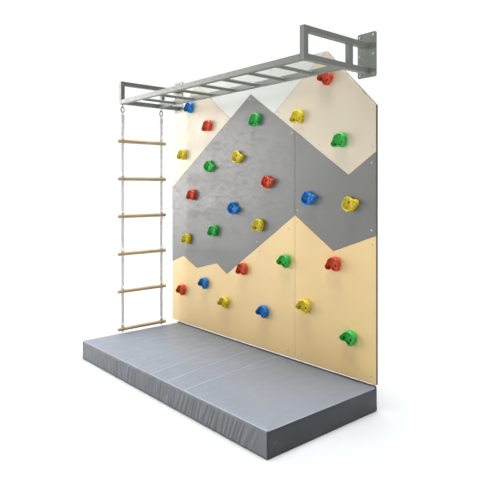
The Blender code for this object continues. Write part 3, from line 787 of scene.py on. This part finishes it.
def knot_path(middle, radius, height, rope, turn=0.0, points=110):
    """An overhand knot's path that, with its rope's thickness, fills a cylinder."""
    t = np.linspace(0, 2 * math.pi, points, endpoint=False)
    spread = (radius - rope) / 3
    x = spread * (np.sin(t) + 2 * np.sin(2 * t))
    y = spread * (np.cos(t) - 2 * np.cos(2 * t))
    z = -(height / 2 - rope) * np.sin(3 * t)
    c, s = math.cos(turn), math.sin(turn)
    path = np.stack([c * x - s * y, s * x + c * y, z], axis=1)
    return path + np.array(middle)


def knot(middle, size, rope=KNOT_ROPE, turn=0.0):
    """A pulled-tight overhand knot."""
    radius, height = size
    path = knot_path(middle, radius, height, rope, turn)
    core = turned((
        (radius * 0.30, -height * 0.42), (radius * 0.62, -height * 0.30), (radius * 0.66, 0),
        (radius * 0.55, height * 0.30), (radius * 0.28, height * 0.42),
    ), 16)
    return merge([laid(path, rope, KNOT_LAY, closed=True), moved(core, middle)])


def rope_route(y, top, bottom, sway, points=120):
    """A nearly straight line down from top to bottom, with the slight bow of a slack rope."""
    t = np.linspace(0, 1, points)
    bow = np.sin(math.pi * t)
    return np.stack([
        ROPE_X + sway[0] * bow, y + sway[1] * bow, top + (bottom - top) * t,
    ], axis=1)


def doubled(route, radius, neck_below):
    """Two ropes side by side along a route, squeezed together where they enter the rung."""
    height = route[:, 2]
    squeeze = smooth_step(height, neck_below - 0.002, neck_below + 0.016)
    thick = NECK + (radius - NECK) * squeeze
    angle = 0.25 * np.sin((height - height[-1]) * 9.0)
    side = np.stack([np.sin(angle), np.cos(angle), 0 * angle], axis=1)
    return merge([
        laid(route + side * thick[:, None] * sign, thick, phase=0.37 * (sign > 0))
        for sign in (-1, 1)
    ])


def whipping(y, top, radius, wire=0.0011):
    """Twine wound tightly round a rope."""
    t = np.linspace(0, WHIPPING_TURNS, WHIPPING_TURNS * 18)
    angle = 2 * math.pi * t
    path = np.stack([
        ROPE_X + radius * np.cos(angle), y + radius * np.sin(angle), top - t * wire * 2.02,
    ], axis=1)
    return tube(path, wire, 6)


def splice(y, top, bottom):
    """Three ropes twisted together below the loop, thinning to the doubled rope."""
    height = np.linspace(top, bottom, 130)
    t = (top - height) / (top - bottom)
    swell = np.interp(t, [0, 0.08, 0.22, 0.72, 0.95, 1], [0.55, 0.88, 1.0, 0.92, 0.70, 0.58])
    made = []
    for k in range(3):
        angle = 2 * math.pi * (t * 1.9 + k / 3)
        spread = SPLICE_SPREAD * swell
        path = np.stack([
            ROPE_X + spread * np.cos(angle), y + spread * np.sin(angle), height,
        ], axis=1)
        made.append(laid(path, SPLICE_ROPE * (0.75 + 0.25 * swell), phase=0.2 * k))
    return made


def build_rope(side, y, step, body):
    """One side of one ladder step: doubled rope, its knots, and how it starts."""
    foot = RUNG_Z[step - 1] + RUNG_RADIUS + KNOT_GAP
    radius = ROPE_RADII[step - 1]
    node = f"rope_{side}_{step}"
    last = step == STEPS
    spare = random.uniform(-0.0012, 0.0012), random.uniform(-0.0012, 0.0012)
    knots = [knot((ROPE_X, y, foot + TOP_KNOT[1] / 2), TOP_KNOT, turn=random.uniform(0, 2))]
    if step == 1:
        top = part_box(node)[1].z - SPLICE_DROP
        joint = top - SPLICE_LENGTH
        route = rope_route(y, top - 0.004, foot - 2 * RUNG_RADIUS + 0.004, spare)
        knots += splice(y, top, joint)
        knots.append(whipping(y, top - WHIPPINGS[0][0], WHIPPINGS[0][1]))
        knots.append(whipping(y, joint + WHIPPINGS[1][0], WHIPPINGS[1][1]))
    else:
        top = RUNG_Z[step - 2] - RUNG_RADIUS - KNOT_GAP
        route = rope_route(y, top - ROPE_CLEAR, foot - 2 * RUNG_RADIUS + 0.004, spare)
        hanging = (ROPE_X, y, top - HANGING_KNOT[1] / 2)
        knots.append(knot(hanging, HANGING_KNOT, 0.0046, random.uniform(0, 2)))
    if last:
        end = foot - 2 * (RUNG_RADIUS + KNOT_GAP) - END_KNOT[1] / 2
        knots.append(knot((ROPE_X, y, end), END_KNOT, 0.0036))
    rope = piece(f"{node}_doubled", doubled(route, radius, foot), ROPE, body, (node,))
    tied = piece(f"{node}_knots", merge(knots), ROPE, body)
    return rope, tied, route


def rope_loop(side, y):
    """The rope's eye through the link."""
    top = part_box(f"rope_{side}_1")[1].z
    radius, rope = EYE
    middle = top - radius - 0.0065
    angle = np.linspace(0, 2 * math.pi, 64, endpoint=False)
    path = np.stack([
        ROPE_X + radius * np.cos(angle), 0 * angle + y, middle + radius * np.sin(angle),
    ], axis=1)
    return laid(path, rope, KNOT_LAY, closed=True)


def link(side, y):
    """An oval quick link in the YZ plane with a threaded sleeve on one side."""
    low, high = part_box(f"carabiner_{side}")
    wire = LINK_WIRE
    bow = (high.y - low.y) / 2 - wire
    top, bottom = high.z - wire - bow, low.z + wire + bow
    path = []
    for begin, middle in ((0, top), (math.pi, bottom)):
        for i in range(25):
            angle = begin + math.pi * i / 24
            path.append((ROPE_X, y + bow * math.cos(angle), middle + bow * math.sin(angle)))
    body = tube(refined(np.array(path), 0.0016), wire, 14, closed=True)
    sleeve = turned((
        (0.0038, -0.0085), (0.0048, -0.0080, 6), (0.0048, 0.0080, 6), (0.0038, 0.0085),
    ), 36)
    return merge([body, moved(sleeve, (ROPE_X, y - bow, (top + bottom) / 2))])


def build_ladder():
    for side, y in SIDES.items():
        piece(f"link_{side}", link(side, y), DARK_STEEL, "ladder_step_1",
              (f"carabiner_{side}",), sharp=40)
        piece(f"rope_{side}_eye", rope_loop(side, y), ROPE, "ladder_step_1")
        for step in range(1, STEPS + 1):
            rope, tied, route = build_rope(side, y, step, f"ladder_step_{step}")
            along, length = distances(route)


# Floor mat

MAT_LOW, MAT_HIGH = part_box("floor_mat")
MAT_CELL = (0.010, 0.020, 0.0120)
MAT_ROUND = 0.009
MAT_SLACK = 0.002
MAT_BULGE = 0.004
MAT_CAP = 0.0040
# Folded lines across the top: distance from the left end at the front, and slant to the left
MAT_SEAMS = ((1.134, 0.22), (1.331, 0.18), (1.534, 0.12))
FOLD_PITCH = 0.041
FOLD_DEPTH = 0.0074
CREASE_HEIGHT = 0.0030
BACK_RISE = 0.0120
SEAM_RISE = 0.0012
PIPING_RADIUS = 0.0028
SEAM_RADIUS = 0.0032


def block(low, high, cell):
    """A box whose six sides are even grids."""
    count = [max(2, round((high[i] - low[i]) / cell[i])) for i in range(3)]
    index, vertices, faces = {}, [], []

    def vertex(key):
        if key not in index:
            index[key] = len(vertices)
            vertices.append([low[i] + (high[i] - low[i]) * key[i] / count[i] for i in range(3)])
        return index[key]

    for axis in range(3):
        u, v = (axis + 1) % 3, (axis + 2) % 3
        for side in (0, count[axis]):
            for i in range(count[u]):
                for j in range(count[v]):
                    keys = []
                    for di, dj in ((0, 0), (1, 0), (1, 1), (0, 1)):
                        key = [0, 0, 0]
                        key[axis], key[u], key[v] = side, i + di, j + dj
                        keys.append(vertex(tuple(key)))
                    faces.append(tuple(keys if side else reversed(keys)))
    return np.array(vertices), faces


def rounded(points, low, high, radius):
    """Points on a box moved onto the same box with round edges and corners."""
    core = np.clip(points, np.array(low) + radius, np.array(high) - radius)
    away = points - core
    return core + unit(away) * radius * (np.linalg.norm(away, axis=1) > 1e-9)[:, None]


def read_points(mesh):
    flat = np.empty(len(mesh.vertices) * 3)
    mesh.vertices.foreach_get("co", flat)
    return flat.reshape(-1, 3)


def write_points(mesh, points):
    mesh.vertices.foreach_set("co", points.ravel())
    mesh.update()


def swell(mat):
    """Lets the cover fill out as cloth under pressure, and keeps each point near where it began."""
    start = read_points(mat.data)
    held = mat.vertex_groups.new(name="held")
    held.add([i for i, p in enumerate(start) if p[2] < 0.010], 1.0, "REPLACE")
    cloth = mat.modifiers.new("Cloth", "CLOTH")
    cloth.settings.quality = 4
    cloth.settings.mass = 0.35
    cloth.settings.tension_stiffness = 18
    cloth.settings.compression_stiffness = 18
    cloth.settings.shear_stiffness = 8
    cloth.settings.bending_stiffness = 0.4
    cloth.settings.shrink_min = -0.012
    cloth.settings.use_pressure = True
    cloth.settings.uniform_pressure_force = 4
    cloth.settings.effector_weights.gravity = 0
    cloth.settings.vertex_group_mass = "held"
    cloth.point_cache.frame_start = 1
    cloth.point_cache.frame_end = 20
    for number in range(1, 21):
        bpy.context.scene.frame_set(number)
    shown = mat.evaluated_get(bpy.context.evaluated_depsgraph_get())
    shift = read_points(shown.data) - start
    mat.modifiers.remove(cloth)
    mat.vertex_groups.clear()
    size = np.linalg.norm(shift, axis=1, keepdims=True)
    shift *= np.tanh(size / MAT_CAP) * MAT_CAP / np.maximum(size, 1e-9)
    write_points(mat.data, start + shift)
    bpy.context.scene.frame_set(1)
    return shift


def gathers(points):
    """How far each point moves for the folds: gathers down the front, creases near its edge."""
    x = points[:, 0] - MAT_LOW.x
    y = points[:, 1] - MAT_LOW.y
    up = points[:, 2] / (MAT_HIGH.z - MAT_LOW.z)
    share = x / (MAT_HIGH.x - MAT_LOW.x)
    strength = np.interp(
        share, (0, 0.10, 0.22, 0.45, 0.90, 0.955, 0.975, 1), (0, 0.25, 0.7, 0.9, 1, 0.9, 0.1, 0),
    )
    lean = np.interp(share, (0, 0.55, 0.72, 0.97), (0.0, 0.05, 0.45, 0.35))
    across = x - lean * (points[:, 2] - MAT_HIGH.z * 0.5)
    count = len(points)
    wander, size, fade, creases = (np.empty(count) for _ in range(4))
    for i in range(count):
        wander[i] = noise.noise(Vector((across[i] * 9, points[i, 2] * 3, 1.7)))
        size[i] = noise.noise(Vector((across[i] * 17, 0.5, 6.1)))
        fade[i] = noise.noise(Vector((across[i] * 26, points[i, 2] * 13, 9.1)))
        creases[i] = noise.noise(Vector((x[i] * 30 + y[i] * 5, y[i] * 1.6, 4.4)))
    phase = across / FOLD_PITCH + 1.5 * wander
    ridge = np.abs(np.sin(math.pi * phase)) ** 0.8
    small = 0.5 + 0.5 * np.sin(2 * math.pi * (phase * 2.3 + 0.2))
    folds = (0.80 * ridge + 0.20 * small) * (0.75 + 0.65 * size) * (0.9 + 0.5 * fade)
    shift = np.zeros_like(points)
    front = smooth_step(0.020 - y, 0, 0.014)
    tall = np.interp(up, (0, 0.06, 0.45, 0.80, 0.93, 1), (0.3, 0.9, 1.0, 0.85, 0.25, 0))
    shift[:, 1] -= FOLD_DEPTH * (folds - 0.35) * strength * front * tall
    top = smooth_step(up, 0.93, 0.99)
    creased = np.interp(share, (0, 0.15, 0.35, 0.55, 0.75), (0.3, 1, 1, 0.7, 0.15))
    near_front = np.exp(-(y / 0.20) ** 2) * creased
    shift[:, 2] += CREASE_HEIGHT * np.clip(creases, -0.1, 0.5) * top * near_front
    under_boards = smooth_step(points[:, 1], BOARD_FRONT - 0.014, BOARD_FRONT + 0.001)
    shift[:, 2] += BACK_RISE * under_boards * top
    for at, slant in MAT_SEAMS:
        near = x - at + slant * y
        shift[:, 2] += SEAM_RISE * np.exp(-(near / 0.0120) ** 2) * top
    return shift


def build_mat():
    low = [MAT_LOW.x + MAT_SLACK, MAT_LOW.y + MAT_SLACK, 0.0]
    high = [MAT_HIGH.x + MAT_BULGE, MAT_HIGH.y + 0.001, MAT_HIGH.z]
    points, faces = block(low, high, MAT_CELL)
    points = rounded(points, low, high, MAT_ROUND)
    mat = piece("floor_mat_cover", (points, faces), CLOTH, "mat", ("floor_mat",))
    shift = swell(mat)
    finer = mat.modifiers.new("Finer", "SUBSURF")
    finer.levels = 1
    finer.render_levels = 1
    shown = mat.evaluated_get(bpy.context.evaluated_depsgraph_get())
    finished = bpy.data.meshes.new_from_object(shown)
    mat.modifiers.remove(finer)
    mat.data = finished
    cover = read_points(mat.data)
    cover = cover + gathers(cover)
    highest = np.where(cover[:, 1] > BOARD_FRONT - 0.004, BOARD_BOTTOM - 0.0015, np.inf)
    cover[:, 2] = np.clip(cover[:, 2], 0.0005, highest)
    write_points(mat.data, cover)
    mat.data.shade_smooth()
    build_piping(points, shift, cover)


def nearest(places, points):
    """For each place, the number of the point that is closest to it."""
    tree = KDTree(len(points))
    for i, point in enumerate(points):
        tree.insert(point, i)
    tree.balance()
    return [tree.find(place)[1] for place in places]


def build_piping(start, shift, cover):
    """The corded seam round the mat's top edge, and the three folded lines across its top, in cloth
    painted lighter to stand in for their highlight.
    """
    inset = MAT_SLACK + MAT_ROUND * 0.36
    z = MAT_HIGH.z - MAT_ROUND * 0.36
    right = MAT_HIGH.x + MAT_BULGE + MAT_SLACK - inset
    back = MAT_HIGH.y - MAT_ROUND * 0.36
    corners = [
        (MAT_LOW.x + inset, MAT_LOW.y + inset), (right, MAT_LOW.y + inset),
        (right, back), (MAT_LOW.x + inset, back),
    ]
    turn_radius = 0.014
    path = []
    for i, (x, y) in enumerate(corners):
        sx = 1 if i in (0, 3) else -1
        sy = 1 if i in (0, 1) else -1
        begin = math.pi + math.pi / 2 * i
        for step in range(7):
            angle = begin + math.pi / 2 * step / 6
            path.append((
                x + sx * turn_radius + turn_radius * math.cos(angle),
                y + sy * turn_radius + turn_radius * math.sin(angle), z,
            ))
    path = refined(np.array(path), 0.012)
    path = path + shift[nearest(path, start)]
    cord = tube(path, PIPING_RADIUS, 8, closed=True)
    piece("floor_mat_piping", cord, PIPING_WITH_HIGHLIGHT, "mat")
    deep = BOARD_FRONT - MAT_LOW.y
    top = cover[cover[:, 2] > MAT_HIGH.z * 0.8]
    cords = []
    for at, slant in MAT_SEAMS:
        y = np.linspace(0.010, deep - 0.010, 80)
        line = np.stack([MAT_LOW.x + at - slant * y, MAT_LOW.y + y, 0 * y + MAT_HIGH.z], axis=1)
        line[:, 2] = top[nearest(line, top)][:, 2] - 0.0014
        cords.append(tube(line, SEAM_RADIUS, 12))
    piece("floor_mat_seams", merge(cords), SEAM_HIGHLIGHT, "mat")


# Studio

# The window: where it is, where it points, how wide it is, watts, colour
WINDOW = ((-7.0, -3.2, 2.6), (0.0, 0.2, 1.2), 4.5, 425, (1.0, 0.985, 0.96))
# The skylight: direction it comes from, strength, spread in degrees, colour
SKYLIGHT = ((0.0, 0.0, 1.0), 7.8, 36, (0.94, 0.975, 1.0))
# The world's brightness in front of the boards, behind them, and up to what height it is white
ROOM_LEFT = 0.25
ROOM_RIGHT = 0.05
BEHIND = 1.05
BEHIND_RIGHT = 0.12
HORIZON_TOP = 0.21


def build_stage():
    mesh = bpy.data.meshes.new("studio_floor")
    reach = 30
    corners = [(-reach, -reach, 0), (reach, -reach, 0), (reach, reach, 0), (-reach, reach, 0)]
    mesh.from_pydata([(x, y, z - 0.0005) for x, y, z in corners], [], [(0, 1, 2, 3)])
    mesh.materials.append(floor_paint())
    floor = bpy.data.objects.new("studio_floor", mesh)
    bpy.context.scene.collection.objects.link(floor)


def aim(thing, place, target):
    thing.location = place
    thing.rotation_euler = (Vector(target) - Vector(place)).to_track_quat("-Z", "Y").to_euler()


def window_light(name, place, target, size, power, colour):
    light = bpy.data.lights.new(name, "AREA")
    light.shape = "SQUARE"
    light.size = size
    light.energy = power
    light.color = colour
    thing = bpy.data.objects.new(name, light)
    bpy.context.scene.collection.objects.link(thing)
    aim(thing, place, target)


def far_light(name, direction, strength, spread, colour):
    """A wide, distant light that arrives from the given direction."""
    light = bpy.data.lights.new(name, "SUN")
    light.energy = strength
    light.angle = math.radians(spread)
    light.color = colour
    thing = bpy.data.objects.new(name, light)
    bpy.context.scene.collection.objects.link(thing)
    aim(thing, direction, (0, 0, 0))


def build_world():
    """White behind the wall and all round the horizon; dim above it to the right and in front."""
    world = bpy.data.worlds.new("studio")
    bpy.context.scene.world = world
    world.use_nodes = True
    tree = world.node_tree

    def ramp(value, low, high, start, end):
        node = tree.nodes.new("ShaderNodeMapRange")
        node.interpolation_type = "SMOOTHSTEP"
        sockets = ("From Min", "From Max", "To Min", "To Max")
        for name, number in zip(sockets, (low, high, start, end)):
            if isinstance(number, bpy.types.NodeSocket):
                tree.links.new(number, node.inputs[name])
            else:
                node.inputs[name].default_value = number
        tree.links.new(value, node.inputs["Value"])
        return node.outputs["Result"]

    coords = tree.nodes.new("ShaderNodeTexCoord")
    split = tree.nodes.new("ShaderNodeSeparateXYZ")
    tree.links.new(coords.outputs["Generated"], split.inputs[0])
    room = ramp(split.outputs["X"], -0.6, 0.3, ROOM_LEFT, ROOM_RIGHT)
    behind = ramp(split.outputs["X"], -0.25, 0.15, BEHIND, BEHIND_RIGHT)
    sky = ramp(split.outputs["Y"], -0.25, 0.05, room, behind)
    glow = ramp(split.outputs["Z"], 0.0, HORIZON_TOP, BEHIND, sky)
    background = tree.nodes["Background"]
    tree.links.new(glow, background.inputs["Strength"])
    background.inputs["Color"].default_value = (1.0, 1.0, 1.0, 1.0)


def build_studio():
    build_stage()
    build_world()
    window_light("window", *WINDOW)
    far_light("skylight", *SKYLIGHT)
    camera = bpy.data.cameras.new("camera")
    camera.lens = CAMERA_LENS
    camera.sensor_width = 36
    camera.shift_x, camera.shift_y = CAMERA_SHIFT
    thing = bpy.data.objects.new("camera", camera)
    thing.location = CAMERA_PLACE
    thing.rotation_euler = (math.radians(90), 0, CAMERA_YAW)
    bpy.context.scene.collection.objects.link(thing)
    bpy.context.scene.camera = thing
    bpy.context.scene.view_settings.view_transform = "Standard"


build_studio()
dress_cad()
build_holds()
build_screws()
build_plate_bolts()
build_welds()
build_ladder()
build_mat()
